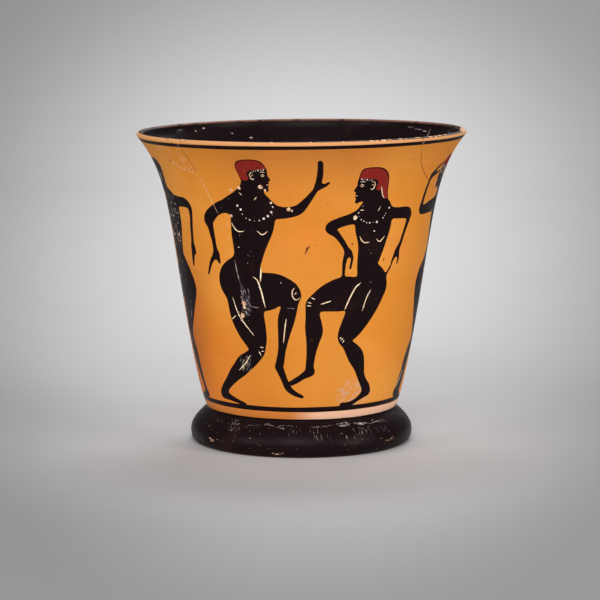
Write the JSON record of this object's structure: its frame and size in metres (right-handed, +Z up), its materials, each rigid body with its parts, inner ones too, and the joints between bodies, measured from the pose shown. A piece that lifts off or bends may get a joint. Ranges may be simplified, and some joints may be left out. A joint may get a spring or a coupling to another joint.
{
  "type": "terracotta tumbler",
  "caption": "Flaring drinking tumbler of fired clay on a thick rounded ring foot, hollow and open at the top, with a painted band of dancing figures.",
  "frame": {"origin": "centre of the ring that the tumbler stands on, level with the ground", "axes": "+Z up along the axis of turning; -Y faces the viewer of the best preserved side"},
  "size_m": [0.1092, 0.1092, 0.1042],
  "materials": {
    "painted_clay": "burnished orange clay painted with a satin black slip"
  },
  "bodies": {
    "root": {"tumbler": "painted_clay"}
  },
  "joints": []
}
